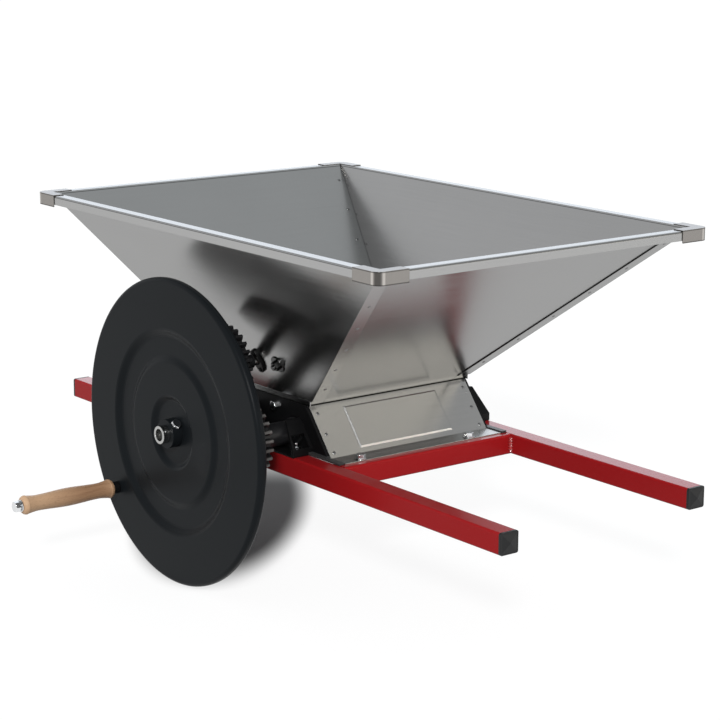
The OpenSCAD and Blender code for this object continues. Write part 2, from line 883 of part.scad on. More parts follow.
module agitator_bushes() {
    color([0.15, 0.15, 0.16]) both_sides() agitator_bush();
}

module agitator_bush_bolts() {
    color("silver") both_sides() bush_bolt_places() {
        translate([0, 0, bush_flange_t]) hex_head(m3[1], m3[2]);
        translate([0, 0, -sheet - m3[1]]) cylinder(d = m3[0], h = sheet + m3[1] + bush_flange_t);
        translate([0, 0, -sheet]) mirror([0, 0, 1]) hex_head(m3[1], m3[0] * nut_share);
    }
}

module wall_stud() {
    color("silver") on_drive_wall(agitator_x + stud_x, agitator_z + stud_z) {
        cylinder(r = m8[1], h = washer_t);
        translate([0, 0, washer_t]) hex_head(m8[1], m8[0] * nut_share);
        translate([0, 0, -sheet - bolt_reach])
            cylinder(d = m8[0], h = sheet + bolt_reach + washer_t + nut_share * m8[0] + thread_over);
        translate([0, 0, -sheet]) mirror([0, 0, 1]) hex_head(m8[1], m8[0] * nut_share);
    }
}

// Gears
module gear_plan(teeth, phase) {
    pitch_r = gear_module * teeth / 2;
    base_r = pitch_r * cos(pressure_angle);
    tip_r = pitch_r + addendum;
    root_r = pitch_r - dedendum;
    half = 90 / teeth - backlash / 4 / pitch_r * 180 / PI;
    low_r = max(root_r, base_r);
    radii = [for (i = [0 : ease_steps]) low_r + (tip_r - low_r) * i / ease_steps];
    root_half = flank(low_r, base_r, half);
    polygon([
        for (i = [0 : teeth - 1])
            let (middle = phase + 360 * i / teeth)
            each concat(
                [polar(root_r, middle - 180 / teeth), polar(root_r, middle - root_half)],
                [for (r = radii) polar(r, middle - flank(r, base_r, half))],
                [polar(tip_r, middle)],
                [for (k = [ease_steps : -1 : 0]) polar(radii[k], middle + flank(radii[k], base_r, half))],
                [polar(root_r, middle + root_half)]
            )
    ]);
}

// Gear on the drive side with a sleeve towards the middle, bored for its shaft and keyed at the top
module keyed_gear(teeth, phase, bore_r, hub_r, hub_start) {
    difference() {
        union() {
            along_y(-gear_far, -gear_near) gear_plan(teeth, phase);
            rod_y(hub_r, -gear_near, -hub_start);
        }
        rod_y(bore_r + seat_fit, -gear_far - cut, -hub_start + cut);
        translate([0, 0, bore_r]) gear_key_slot(seat_fit);
    }
}

// Key seated in the top of a shaft, drawn with the shaft's top at z = 0
module gear_key_slot(grow) {
    translate([-key_w / 2 - grow, -gear_far + key_inset - grow, -key_sink - grow])
        cube([key_w + 2 * grow, gear_w - 2 * key_inset + 2 * grow, key_h + 2 * grow]);
}

module drive_gear() {
    color([0.2, 0.2, 0.21]) at_roll(-1) keyed_gear(roll_teeth, 0, shaft_r, gear_sleeve_r, sleeve_start);
}

module driven_gear() {
    color([0.2, 0.2, 0.21]) at_roll(1)
        keyed_gear(roll_teeth, roll_tooth_angle / 2, shaft_r, gear_sleeve_r, sleeve_start);
}

module agitator_gear() {
    color([0.14, 0.14, 0.15]) at_agitator()
        keyed_gear(agitator_teeth, agitator_phase, agitator_r, gear_hub_r, collar_start);
}

module drive_gear_key() {
    color("gray") at_roll(-1) translate([0, 0, shaft_r]) gear_key_slot(0);
}

module driven_gear_key() {
    color("gray") at_roll(1) translate([0, 0, shaft_r]) gear_key_slot(0);
}

module agitator_gear_key() {
    color("gray") at_agitator() translate([0, 0, agitator_r]) gear_key_slot(0);
}

// Shafts and rolls
module roll_shaft(front) {
    difference() {
        rod_y(shaft_r, -front, shaft_far);
        translate([0, 0, -roll_r]) cylinder(d = roll_pin_d + 2 * seat_fit, h = 2 * roll_r);
        translate([0, 0, shaft_r]) gear_key_slot(seat_fit);
    }
}

module drive_shaft() {
    color("silver") at_roll(-1) difference() {
        roll_shaft(shaft_front);
        rod_y(shaft_hollow_d / 2, -shaft_front - cut, shaft_hollow - shaft_front);
        rotate([0, 45, 0]) translate([0, -set_bolt_y, 0]) cylinder(d = m8[0] + hole_clear, h = hub_r);
    }
}

module driven_shaft() {
    color("silver") at_roll(1) roll_shaft(gear_end);
}

module roll() {
    difference() {
        along_y(-roll_len / 2, roll_len / 2) difference() {
            circle(roll_r);
            circle(shaft_r + seat_fit);
            for (i = [0 : flute_count - 1])
                translate(polar(roll_r, 360 * (i + 0.5) / flute_count)) circle(flute_r);
        }
        translate([0, 0, -roll_r]) cylinder(d = roll_pin_d + 2 * seat_fit, h = 2 * roll_r);
    }
}

module roll_pin() {
    translate([0, 0, 2 * flute_r - roll_r]) cylinder(d = roll_pin_d, h = 2 * (roll_r - 2 * flute_r));
}

module drive_roll() {
    color("darkgray") at_roll(-1) roll();
}

module driven_roll() {
    color("darkgray") at_roll(1) roll();
}

module drive_roll_pin() {
    color("gray") at_roll(-1) roll_pin();
}

module driven_roll_pin() {
    color("gray") at_roll(1) roll_pin();
}

module collar(bore_r, wall, start) {
    difference() {
        rod_y(bore_r + wall, start, start + collar_w);
        rod_y(bore_r + seat_fit, start - cut, start + collar_w + cut);
    }
}

module drive_shaft_collar() {
    color("gray") at_roll(-1) collar(shaft_r, collar_wall, bush_out + end_play);
}

module driven_shaft_collar() {
    color("gray") at_roll(1) collar(shaft_r, collar_wall, bush_out + end_play);
}

// Agitator
module peg_places() {
    for (i = [0 : peg_count - 1]) translate([0, (i - (peg_count - 1) / 2) * peg_step, 0])
        rotate([0, peg_turn * i, 0]) children();
}

module agitator_shaft() {
    color("silver") at_agitator() difference() {
        rod_y(agitator_r, -gear_end, agitator_far);
        peg_places() translate([0, 0, -agitator_d]) cylinder(d = peg_d + 2 * seat_fit, h = 2 * agitator_d);
        translate([0, 0, agitator_r]) gear_key_slot(seat_fit);
    }
}

module agitator_pegs() {
    color("silver") at_agitator() peg_places()
        translate([0, 0, -peg_reach]) cylinder(d = peg_d, h = 2 * peg_reach);
}

module agitator_collar() {
    color("gray") at_agitator() collar(agitator_r, agitator_collar_wall, collar_start);
}

// Flywheel
// Depth of the front face below the rim face, from the hub outward
function wheel_face() = concat(
    [[hub_r + seat_fit, dish_depth]],
    step_points(dish_r, 5, dish_depth, middle_depth),
    step_points(groove_in, 6, middle_depth, groove_depth),
    step_points(groove_out, 7, groove_depth, 0)
);

module wheel_section() {
    inner_r = wheel_r - wheel_rim;
    polygon(concat(
        wheel_face(),
        [for (a = [90 : -15 : 0]) [wheel_r - wheel_round, wheel_round] + wheel_round * [cos(a), -sin(a)]],
        [for (a = [0 : -15 : -90])
            [wheel_r - wheel_round, wheel_w - wheel_round] + wheel_round * [cos(a), -sin(a)]],
        [[inner_r, wheel_w], [inner_r - 3, wheel_web]],
        [for (i = [len(wheel_face()) - 1 : -1 : 0]) wheel_face()[i] + [0, wheel_web]]
    ));
}

module flywheel() {
    color([0.2, 0.2, 0.21]) difference() {
        at_roll(-1) translate([0, -wheel_front, 0]) rotate([-90, 0, 0])
            rotate_extrude($fn = 128) wheel_section();
        at_handle() rod_y(spindle_r + seat_fit, -wheel_front - cut, -wheel_back + cut);
    }
}

module flywheel_hub() {
    web_back = wheel_front - dish_depth - wheel_web;
    color([0.13, 0.13, 0.14]) at_roll(-1) difference() {
        union() {
            rod_y(hub_r, -hub_front, hub_shoulder - web_back);
            rod_y(hub_shoulder_r, -web_back, hub_shoulder - web_back);
        }
        rod_y(shaft_r + seat_fit, -hub_front - cut, hub_shoulder - web_back + cut);
        rotate([0, 45, 0]) translate([0, -set_bolt_y, 0]) cylinder(d = m8[0] + hole_clear, h = 2 * hub_r);
    }
}

module hub_set_bolt() {
    color("silver") at_roll(-1) rotate([0, 45, 0]) translate([0, -set_bolt_y, 0]) {
        translate([0, 0, shaft_r - set_bolt_bite]) cylinder(d = m8[0], h = hub_r - shaft_r + set_bolt_bite);
        translate([0, 0, hub_r]) hex_head(m8[1], m8[2]);
    }
}

// Handle
module handle_spindle() {
    back = wheel_front - wheel_web;
    shoulder = grip_far + end_play + washer_t;
    head = shoulder + spindle_shoulder;
    color("silver") at_handle() {
        rod_y(spindle_r, -head, spindle_d * nut_share + thread_over - back);
        rod_y(spindle_r + 1, -head, -shoulder);
        translate([0, -head, 0]) rotate([90, 0, 0]) hex_head(spindle_head[0], spindle_head[1]);
    }
}

module handle_collar() {
    color([0.12, 0.12, 0.13]) at_handle() difference() {
        rod_y(spindle_r + spindle_wall, -wheel_front - spindle_collar, -wheel_front);
        rod_y(spindle_r + seat_fit, -wheel_front - spindle_collar - cut, cut - wheel_front);
    }
}

module spindle_nut() {
    back = wheel_front - wheel_web;
    color("silver") at_handle() difference() {
        translate([0, -back, 0]) rotate([-90, 0, 0]) hex_head(spindle_head[0] + 2, spindle_d * nut_share);
        rod_y(spindle_r + seat_fit, -wheel_front, 0);
    }
}

module spindle_washer() {
    start = grip_far + end_play;
    color("silver") at_handle() difference() {
        rod_y(spindle_r + spindle_wall, -start - washer_t, -start);
        rod_y(spindle_r + seat_fit, -start - washer_t - cut, cut - start);
    }
}

// Radius of the grip at share t of its length: a belly in the middle, a neck and a flare at each end
function grip_radius(t) =
    let (neck = 0.17, flare = 2.6)
    t < neck ? grip_neck + flare * ease(1 - t / neck)
    : t > 1 - neck ? grip_neck + flare * ease((t - 1 + neck) / neck)
    : grip_neck + (grip_belly - grip_neck) * ease(1 - abs(2 * t - 1) / (1 - 2 * neck));

module handle_grip() {
    round_end = 7;
    steps = 36;
    first = ceil(steps * round_end / grip_len);
    color("burlywood") at_handle() translate([0, -grip_near, 0]) rotate([90, 0, 0]) rotate_extrude() {
        polygon(concat(
            [[spindle_r + run_fit, 0], [grip_radius(0) - round_end, 0]],
            [for (a = [-75 : 15 : 0]) [grip_radius(0) - round_end, round_end] + round_end * [cos(a), sin(a)]],
            [for (i = [first : steps - first]) [grip_radius(i / steps), grip_len * i / steps]],
            [for (a = [0 : 15 : 75])
                [grip_radius(1) - round_end, grip_len - round_end] + round_end * [cos(a), sin(a)]],
            [[grip_radius(1) - round_end, grip_len], [spindle_r + run_fit, grip_len]]
        ));
    }
}

drive_rail();
far_rail();
front_cross_member();
rear_cross_member();
frame_welds();
rail_end_caps();
drive_side_plate();
far_side_plate();
side_plate_bolts();
plate_screws();
roll_bushes();
front_skirt();
rear_skirt();
skirt_rivets();
skirt_bolts();
hopper_front_panel();
hopper_rear_panel();
hopper_drive_panel();
hopper_far_panel();
hopper_rivets();
rim_corner_caps();
agitator_bushes();
agitator_bush_bolts();
wall_stud();
drive_shaft();
drive_roll();
drive_roll_pin();
drive_gear();
drive_gear_key();
drive_shaft_collar();
flywheel();
flywheel_hub();
hub_set_bolt();
handle_spindle();
handle_collar();
spindle_nut();
spindle_washer();
handle_grip();
driven_shaft();
driven_roll();
driven_roll_pin();
driven_gear();
driven_gear_key();
driven_shaft_collar();
agitator_shaft();
agitator_pegs();
agitator_gear();
agitator_gear_key();
agitator_collar();
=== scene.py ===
"""Looks of the hand-cranked grape crusher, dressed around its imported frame."""

import logging
import math
from dataclasses import dataclass, field
from enum import Enum
from functools import cache
from typing import Any, Iterator, Mapping

import bmesh
import bpy
from mathutils import Matrix, Vector


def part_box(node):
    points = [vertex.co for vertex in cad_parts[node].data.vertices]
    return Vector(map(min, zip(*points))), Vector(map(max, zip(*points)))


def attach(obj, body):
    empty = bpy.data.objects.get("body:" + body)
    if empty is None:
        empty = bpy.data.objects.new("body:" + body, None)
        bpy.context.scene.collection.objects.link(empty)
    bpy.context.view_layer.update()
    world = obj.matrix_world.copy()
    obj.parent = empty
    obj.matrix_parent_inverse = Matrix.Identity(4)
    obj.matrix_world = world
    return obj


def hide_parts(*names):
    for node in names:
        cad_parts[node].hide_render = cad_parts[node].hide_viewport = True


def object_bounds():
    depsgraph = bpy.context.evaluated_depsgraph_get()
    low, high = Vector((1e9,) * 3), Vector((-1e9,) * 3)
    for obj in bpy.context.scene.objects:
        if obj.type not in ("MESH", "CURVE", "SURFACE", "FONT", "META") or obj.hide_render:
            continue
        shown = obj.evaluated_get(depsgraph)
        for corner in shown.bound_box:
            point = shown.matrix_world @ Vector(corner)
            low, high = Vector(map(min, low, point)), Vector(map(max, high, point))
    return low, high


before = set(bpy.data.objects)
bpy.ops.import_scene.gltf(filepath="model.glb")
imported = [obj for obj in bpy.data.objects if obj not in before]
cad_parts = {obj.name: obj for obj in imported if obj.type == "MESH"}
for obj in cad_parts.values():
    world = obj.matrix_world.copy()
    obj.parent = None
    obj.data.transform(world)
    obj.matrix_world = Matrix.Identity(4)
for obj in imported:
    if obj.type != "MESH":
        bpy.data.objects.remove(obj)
CAD_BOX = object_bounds()
GRIP_LOW, GRIP_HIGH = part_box("handle_grip")
HOPPER_LOW, HOPPER_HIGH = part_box("hopper_far_panel")
CAPS_LOW, CAPS_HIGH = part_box("rim_corner_caps")
RAIL_LOW, RAIL_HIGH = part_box("far_rail")

LOG = logging.getLogger("grape_crusher")
IMAGE_SIDE = 720

Colour = tuple[float, float, float]
Point = tuple[float, float, float]
Span = tuple[float, float]


class Axis(Enum):
    """Direction in the row frame along which a surface was brushed, turned or grown."""

    X = 0
    Y = 1
    Z = 2

    def stretch(self, along: float, across: float) -> Point:
        """Scale vector with one factor along this axis and another across it."""
        return tuple(along if axis is self else across for axis in Axis)


@dataclass(frozen=True)
class Pattern:
    """A soft random pattern: how fine it is, how many layers it has and how rough they are."""

    scale: float
    detail: float = 2.0
    rough: float = 0.5


class Value:
    """A socket that takes part in arithmetic and adds its own Math nodes."""

    def __init__(self, graph: "Graph", socket: bpy.types.NodeSocket) -> None:
        """Wrap one output socket of a node graph."""
        self.graph = graph
        self.socket = socket

    def _math(self, operation: str, first: Any, second: Any = 0.0) -> "Value":
        """Add one Math node.

        Args:
            operation: Blender's name of the operation.
            first: Left side, a number or a Value.
            second: Right side, a number or a Value.

        Returns:
            The result.
        """
        return self.graph.node("ShaderNodeMath", {"operation": operation}, {0: first, 1: second})

    def __add__(self, other: Any) -> "Value":
        """Sum of two values."""
        return self._math("ADD", self, other)

    def __radd__(self, other: Any) -> "Value":
        """Sum with the number first."""
        return self._math("ADD", other, self)

    def __sub__(self, other: Any) -> "Value":
        """Difference of two values."""
        return self._math("SUBTRACT", self, other)

    def __rsub__(self, other: Any) -> "Value":
        """Difference with the number first."""
        return self._math("SUBTRACT", other, self)

    def __mul__(self, other: Any) -> "Value":
        """Product of two values."""
        return self._math("MULTIPLY", self, other)

    def __rmul__(self, other: Any) -> "Value":
        """Product with the number first."""
        return self._math("MULTIPLY", other, self)

    def size(self) -> "Value":
        """The value without its sign."""
        return self._math("ABSOLUTE", self)

    def band(self, middle: float, half: float, soft: float) -> "Value":
        """One within half of a middle, falling to zero over a soft edge."""
        return (self - middle).size().ramp(half + soft, half)

    def mixed(self, other: "Value", share: float) -> "Value":
        """Mean of two values, by the share of the first."""
        return self * share + other * (1.0 - share)

    def swing(self, amount: float) -> "Value":
        """A pattern from zero to one as a change of that amount about its middle."""
        return (self - 0.5) * amount

    def ramp(self, low: float, high: float) -> "Value":
        """Smooth step from zero at low to one at high."""
        values = {"Value": self, "From Min": low, "From Max": high}
        return self.graph.node("ShaderNodeMapRange", {"interpolation_type": "SMOOTHSTEP"}, values)


class Graph:
    """A node tree that grows node by node."""

    def __init__(self, tree: bpy.types.NodeTree) -> None:
        """Work on an existing tree."""
        self.tree = tree

    def node(
        self,
        kind: str,
        settings: Mapping[str, Any] | None = None,
        values: Mapping[Any, Any] | None = None,
        output: Any = 0,
    ) -> Value:
        """Add a node of any type.

        Args:
            kind: Blender's node type.
            settings: Properties of the node, set first.
            values: Numbers, colours or Values for its inputs, by name or index.
            output: Name or index of the output that is returned.

        Returns:
            The chosen output.
        """
        made = self.tree.nodes.new(kind)
        for key, value in (settings or {}).items():
            setattr(made, key, value)
        for key, value in (values or {}).items():
            self.feed(made.inputs[key], value)
        return Value(self, made.outputs[output])

    def feed(self, socket: bpy.types.NodeSocket, value: Any) -> None:
        """Link a Value to a socket or set its constant.

        Args:
            socket: Input that takes the value.
            value: A Value, a number, or a colour with or without its alpha.
        """
        if isinstance(value, Value):
            self.tree.links.new(value.socket, socket)
        elif socket.type == "RGBA" and len(value) == 3:
            socket.default_value = (*value, 1.0)
        else:
            socket.default_value = value

    def place(self) -> Value:
        """Position on the piece in the row frame at rest, in metres."""
        return self.node("ShaderNodeTexCoord", output="Object")

    def part(self, vector: Value, axis: Axis) -> Value:
        """One component of a vector."""
        return self.node("ShaderNodeSeparateXYZ", values={0: vector}, output=axis.value)

    def stretched(self, vector: Value, scale: Point) -> Value:
        """A vector with each component scaled on its own."""
        return self.node("ShaderNodeVectorMath", {"operation": "MULTIPLY"}, {0: vector, 1: scale})

    def along(self, vector: Value, direction: Any) -> Value:
        """How far a vector points along a direction."""
        settings = {"operation": "DOT_PRODUCT"}
        return self.node("ShaderNodeVectorMath", settings, {0: vector, 1: direction}, "Value")

    def apart(self, vector: Value, point: Point) -> Value:
        """Distance of a position from a point."""
        settings = {"operation": "DISTANCE"}
        return self.node("ShaderNodeVectorMath", settings, {0: vector, 1: point}, "Value")

    def noise(self, vector: Value, pattern: Pattern) -> Value:
        """Soft noise from zero to one."""
        values = {"Scale": pattern.scale, "Detail": pattern.detail, "Roughness": pattern.rough}
        return self.node("ShaderNodeTexNoise", values={"Vector": vector, **values})

    def tint(self, share: Any, first: Any, second: Any) -> Value:
        """Colour between two colours."""
        return self.node("ShaderNodeMix", {"data_type": "RGBA"}, {0: share, 6: first, 7: second}, 2)


class Shader(Graph):
    """A material with one Principled surface."""

    EDGE_SAMPLES = 6
    CREASE_SAMPLES = 3
    CREASE_OPEN: Span = (0.85, 0.4)

    def __init__(self, name: str) -> None:
        """Start a material.

        Args:
            name: Name of the material.
        """
        self.material = bpy.data.materials.new(name)
        self.material.use_nodes = True
        super().__init__(self.material.node_tree)
        self.surface = self.tree.nodes["Principled BSDF"]

    def set(self, **values: Any) -> None:
        """Set or link inputs of the Principled surface, with underscores for spaces."""
        for key, value in values.items():
            self.feed(self.surface.inputs[key.replace("_", " ")], value)

    def rounded(self, radius: float) -> Value:
        """Normal with edges rounded over a radius in metres."""
        return self.node("ShaderNodeBevel", {"samples": self.EDGE_SAMPLES}, {"Radius": radius})

    def relief(self, height: Value, strength: float, distance: float, normal: Value) -> Value:
        """Normal of a bumped surface."""
        values = {"Height": height, "Strength": strength, "Distance": distance, "Normal": normal}
        return self.node("ShaderNodeBump", values=values)

    def facing(self) -> Value:
        """True normal of the surface in the row frame at rest."""
        return self.node("ShaderNodeTexCoord", output="Normal")

    def occlusion_shade(self, reach: float) -> Value:
        """One in narrow corners, for the painted shade there."""
        node, settings = "ShaderNodeAmbientOcclusion", {"samples": self.CREASE_SAMPLES}
        return self.node(node, settings, {"Distance": reach}, "AO").ramp(*self.CREASE_OPEN)

    def worn_edges(self, radius: float, least: float, most: float) -> Value:
        """One on sharp edges, where handling has worn the surface."""
        true = self.node("ShaderNodeNewGeometry", output="Normal")
        return self.along(true, self.rounded(radius)).ramp(most, least)

    def grazing(self, low: float, high: float) -> Value:
        """One where the surface is seen at a flat angle, for gloss."""
        facing = self.node("ShaderNodeLayerWeight", values={"Blend": 0.5}, output="Facing")
        return facing.ramp(low, high)


def shade(colour: Colour, factor: float) -> Colour:
    """A colour made lighter or darker by a factor."""
    return tuple(min(1.0, channel * factor) for channel in colour)


@dataclass(frozen=True)
class Stripe:
    """A stripe across a surface: its middle, half width, soft edge and strength."""

    middle: float
    half: float
    soft: float
    strength: float

    def at(self, position: Value) -> Value:
        """How strong the stripe is at a position across it."""
        return position.band(self.middle, self.half, self.soft) * self.strength


@dataclass(frozen=True)
class BrushedSteel:
    """Sheet or bar with a fine brushed grain, soft mirror reflections and painted shade in its
    creases.
    """

    name: str
    colour: Colour
    roughness: float
    grain: Axis
    grain_pitch: float = 0.0016
    grain_length: float = 0.16
    edge_radius: float = 0.0008
    # Share and tone of the painted shade in creases.
    crease_shade: float = 0.6
    crease_shade_tone: float = 0.12
    crease: float = 0.003
    flat_shine: Colour = (0.7, 0.7, 0.7)
    brushing: Pattern = Pattern(1.0, 3.0, 0.6)
    cloud: Pattern = Pattern(6.0, 3.0, 0.55)
    smear: Pattern = Pattern(38.0, 2.0, 0.5)
    grain_share: float = 0.55
    tones: Span = (0.9, 1.1)
    grain_swing: float = 0.1
    cloud_swing: float = 0.06
    smear_swing: float = 0.03
    grain_relief: float = 0.05
    grain_depth: float = 0.0004

    def make(self) -> bpy.types.Material:
        """Build the material.

        Returns:
            The finished material.
        """
        shader = Shader(self.name)
        place = shader.place()
        fineness = self.grain.stretch(1.0 / self.grain_length, 1.0 / self.grain_pitch)
        grain = shader.noise(shader.stretched(place, fineness), self.brushing)
        cloud = shader.noise(place, self.cloud)
        smear = shader.noise(place, self.smear)
        metal = self.tone_of(shader, place, grain.mixed(cloud, self.grain_share))
        # Painted shade: the colour darkens where creases and seams keep light out.
        painted_crease_shade = shader.occlusion_shade(self.crease) * self.crease_shade
        uneven = grain.swing(self.grain_swing) + cloud.swing(self.cloud_swing)
        shader.set(
            Base_Color=shader.tint(painted_crease_shade, metal, shade(self.colour, self.crease_shade_tone)),
            Metallic=1.0,
            Specular_Tint=self.flat_shine,
            Roughness=self.roughness + uneven + smear.swing(self.smear_swing),
            Normal=shader.relief(grain, self.grain_relief, self.grain_depth, self.face_of(shader)),
        )
        return shader.material

    def tone_of(self, shader: Shader, place: Value, tone: Value) -> Value:
        """Colour of the metal, a little lighter and darker along the grain."""
        return shader.tint(tone, *(shade(self.colour, gain) for gain in self.tones))

    def face_of(self, shader: Shader) -> Value:
        """Normal of the metal before its grain is added."""
        return shader.rounded(self.edge_radius)


@dataclass(frozen=True)
class HopperSheet(BrushedSteel):
    """Brushed sheet with painted light on its rim and upright lip, and two stripes of painted
    shade: under the rim's fold and where the sheet meets the skirt.
    """

    # The lip and rim gains paint the light these faces reflect; the two stripes paint shade.
    lip_low: float = HOPPER_HIGH.z - 0.015
    lip_slope: Span = (0.35, 0.15)
    lip_light_gain: float = 1.12
    rim_low: float = HOPPER_HIGH.z - 0.002
    rim_slope: Span = (0.7, 0.95)
    rim_light_gain: float = 1.55
    turn_height: float = 0.001
    hem_shade: Stripe = Stripe(HOPPER_HIGH.z - 0.0023, 0.0003, 0.0004, 0.7)
    joint: Stripe = Stripe(HOPPER_LOW.z, 0.0007, 0.0007, 0.9)
    shade_stripe_tone: float = 0.08

    def tone_of(self, shader: Shader, place: Value, tone: Value) -> Value:
        """Colour of the sheet with painted light on its upright lip and its rim, and its two
        stripes of painted shade.

        Args:
            shader: Material of the sheet.
            place: Position on the sheet.
            tone: Light and dark of the brushing.

        Returns:
            The colour.
        """
        wall = super().tone_of(shader, place, tone)
        height = shader.part(place, Axis.Z)
        upward = shader.part(shader.facing(), Axis.Z)
        # Painted light: upright faces near the top and upward faces of the rim are made lighter.
        on_lip = height.ramp(self.lip_low, self.lip_low + self.turn_height)
        on_rim = height.ramp(self.rim_low, self.rim_low + self.turn_height)
        lip = upward.size().ramp(*self.lip_slope) * on_lip
        rim = upward.ramp(*self.rim_slope) * on_rim
        lipped = shader.tint(lip, wall, shade(self.colour, self.lip_light_gain))
        rimmed = shader.tint(rim, lipped, shade(self.colour, self.rim_light_gain))
        # Painted shade: a dark stripe under the rim's fold and one where the sheet meets the skirt.
        painted_shade_stripes = self.hem_shade.at(height) + self.joint.at(height)
        return shader.tint(painted_shade_stripes, rimmed, shade(self.colour, self.shade_stripe_tone))


@dataclass(frozen=True)
class TabbedSheet(HopperSheet):
    """Hopper sheet whose end tabs, bent round the corners, are painted lighter for the light they
    catch, and lean a little.
    """

    tab_slope: Span = (0.35, 0.5)
    tab_light_gain: float = 1.05
    tab_lean: Point = (0.0, 0.0, 0.03)

    def tone_of(self, shader: Shader, place: Value, tone: Value) -> Value:
        """Colour of the sheet, with painted light on its tabs."""
        wall = super().tone_of(shader, place, tone)
        # Painted light: the tabs are made lighter than the rest of the sheet.
        return shader.tint(self._tab(shader), wall, shade(self.colour, self.tab_light_gain))

    def face_of(self, shader: Shader) -> Value:
        """Normal of the sheet, tipped a little on its tabs.

        Args:
            shader: Material of the sheet.

        Returns:
            The normal before the grain is added.
        """
        settings = {"operation": "MULTIPLY_ADD"}
        values = {0: self._tab(shader), 1: self.tab_lean, 2: super().face_of(shader)}
        tipped = shader.node("ShaderNodeVectorMath", settings, values)
        return shader.node("ShaderNodeVectorMath", {"operation": "NORMALIZE"}, {0: tipped})

    def _tab(self, shader: Shader) -> Value:
        """One on the tabs, which face along the machine."""
        return shader.part(shader.facing(), Axis.X).size().ramp(*self.tab_slope)


@dataclass(frozen=True)
class LappedSheet(HopperSheet):
    """Hopper sheet that lies under its neighbours' tabs, with a painted shadow along their edges.
    """

    flange: float = 0.017
    tab: float = 0.022
    throat: float = HOPPER_LOW.z + 0.008
    outer_slope: Span = (0.0, -0.4)
    lap_shadow: Stripe = Stripe(HOPPER_LOW.y - 0.0006, 0.0007, 0.0006, 0.6)
    lap_shadow_tone: float = 0.2

    def tone_of(self, shader: Shader, place: Value, tone: Value) -> Value:
        """Colour of the sheet with the painted shadows of the tabs on its outer side.

        Args:
            shader: Material of the sheet.
            place: Position on the sheet.
            tone: Light and dark of the brushing.

        Returns:
            The colour.
        """
        wall = super().tone_of(shader, place, tone)
        outer = shader.part(shader.facing(), Axis.Z).ramp(*self.outer_slope)
        widening = (HOPPER_HIGH.y - self.flange) - (HOPPER_LOW.y + self.tab)
        slope = widening / (HOPPER_HIGH.z - self.throat)
        climb = shader.part(place, Axis.Z) - self.throat
        reach = shader.part(place, Axis.Y).size() - climb * slope
        # Painted shadow: a dark stripe on the outer face along each tab's edge.
        return shader.tint(self.lap_shadow.at(reach) * outer, wall, shade(self.colour, self.lap_shadow_tone))


@dataclass(frozen=True)
class CapSteel(BrushedSteel):
    """Thin pressed corner with a painted highlight and a painted dark reflection on its fold, and
    painted shade along its top fold line and its low edge.
    """

    fold_highlight: Stripe = Stripe(0.16, 0.08, 0.1, 1.0)
    fold_highlight_gain: float = 1.9
    fold_dark_reflection: Span = (0.3, 0.46)
    dark_reflection_share: float = 0.85
    dark_reflection_tone: float = 0.25
    bend_shade: Stripe = Stripe(CAPS_HIGH.z - 0.001, 0.0005, 0.0005, 0.6)
    low_edge_shade: Stripe = Stripe(CAPS_LOW.z + 0.0005, 0.0006, 0.0006, 0.7)
    edge_shade_tone: float = 0.15

    def tone_of(self, shader: Shader, place: Value, tone: Value) -> Value:
        """Colour of the corner, with painted reflections by how far its fold has turned, and
        painted shade on its edges.

        Args:
            shader: Material of the corner.
            place: Position on the corner.
            tone: Light and dark of the brushing.

        Returns:
            The colour.
        """
        metal = super().tone_of(shader, place, tone)
        facing = shader.facing()
        turn = shader.part(facing, Axis.X).size() * shader.part(facing, Axis.Y).size()
        # Painted reflections: a highlight and a dark band where the fold turns.
        bright = shader.tint(self.fold_highlight.at(turn), metal, shade(self.colour, self.fold_highlight_gain))
        dark = turn.ramp(*self.fold_dark_reflection) * self.dark_reflection_share
        folded = shader.tint(dark, bright, shade(self.colour, self.dark_reflection_tone))
        # Painted shade: dark stripes at the top fold line and at the low edge.
        height = shader.part(place, Axis.Z)
        edges = self.bend_shade.at(height) + self.low_edge_shade.at(height)
        return shader.tint(edges, folded, shade(self.colour, self.edge_shade_tone))


